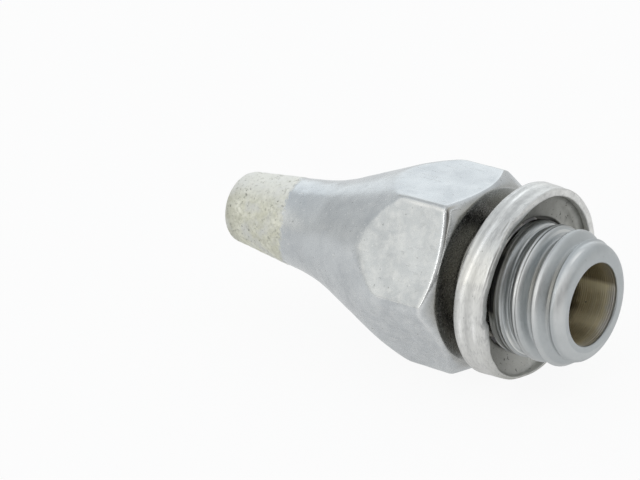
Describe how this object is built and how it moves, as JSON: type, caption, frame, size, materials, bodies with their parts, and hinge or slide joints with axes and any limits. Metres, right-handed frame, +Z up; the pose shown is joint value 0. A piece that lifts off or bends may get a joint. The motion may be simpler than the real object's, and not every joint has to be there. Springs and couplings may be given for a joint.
{
  "type": "desoldering tip",
  "caption": "Plated metal desoldering nozzle with a tapered tinned nose, a hexagon for a spanner, a threaded rear end with a suction bore and a loose dished sealing ring.",
  "frame": {"origin": "on the surface it lies on, below the middle of its length", "axes": "+X along the axis towards the threaded end, -X towards the nose, +Z up from the flat of the hexagon it lies on"},
  "size_m": [0.0263, 0.0124, 0.0117],
  "materials": {
    "plated_body": "satin silver-grey plating on turned brass, the nose tinned dull, the bore bare",
    "ring_metal": "soft pale metal, lightly dented and streaked"
  },
  "bodies": {
    "root": {"tip_body": "plated_body", "seal_ring": "ring_metal"}
  },
  "joints": []
}
